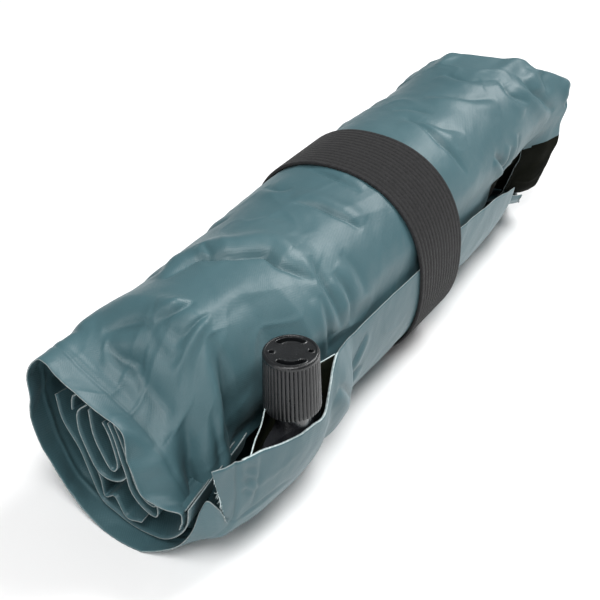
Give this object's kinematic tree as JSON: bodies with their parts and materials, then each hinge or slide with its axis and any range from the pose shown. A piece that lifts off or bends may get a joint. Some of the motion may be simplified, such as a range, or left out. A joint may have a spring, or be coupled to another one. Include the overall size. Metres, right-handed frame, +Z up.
{
  "type": "inflatable sleeping pad",
  "caption": "Camping sleeping pad, folded lengthwise and rolled up, held by a wide elastic strap, with a knurled screw valve at its corner.",
  "frame": {"origin": "on the ground, under the middle of the object's box", "axes": "+X along the roll from the valve end to the folded end, +Z up, -Y the side with the valve and the pad's outer edge"},
  "size_m": [0.34, 0.1047, 0.0944],
  "materials": {
    "coated_fabric": "smooth coated nylon, satin",
    "inner_coating": "welded inner coating, dull",
    "pad_foam": "open-cell foam",
    "elastic_web": "ribbed knitted elastic, matte",
    "strap_thread": "close zigzag stitching",
    "cap_plastic": "fine moulded plastic, matte",
    "stem_plastic": "flexible weldable plastic, glossy",
    "seal_rubber": "smooth rubber"
  },
  "bodies": {
    "pad": {"lower_skin": "coated_fabric", "upper_skin": "coated_fabric", "foam_core": "pad_foam", "corner_front_layer": "coated_fabric", "corner_rear_layer": "inner_coating", "valve_stem": "stem_plastic", "valve_plug": "stem_plastic", "plug_o_ring": "seal_rubber"},
    "cap_ring_body": {"cap_ring": "seal_rubber"},
    "cap_body": {"valve_cap": "cap_plastic"},
    "strap_body": {"elastic_strap": "elastic_web", "strap_tack_1": "strap_thread", "strap_tack_2": "strap_thread"}
  },
  "joints": [
    {"name": "cap_lift", "type": "slide", "parent": "pad", "child": "cap_ring_body", "axis": [0, 0, 1], "range_m": [0, 0.00313]},
    {"name": "cap_turn", "type": "hinge", "parent": "cap_ring_body", "child": "cap_body", "pos_m": [-0.11, -0.04109, 0.057], "axis": [0, 0, 1], "range_deg": [0, 450]},
    {"name": "strap_slide", "type": "slide", "parent": "pad", "child": "strap_body", "axis": [1, 0, 0], "range_m": [-0.035, 0.185]}
  ],
  "couplings": [
    {"joint": "cap_turn", "follows": "cap_lift", "rad_per_m": 2513.3}
  ]
}
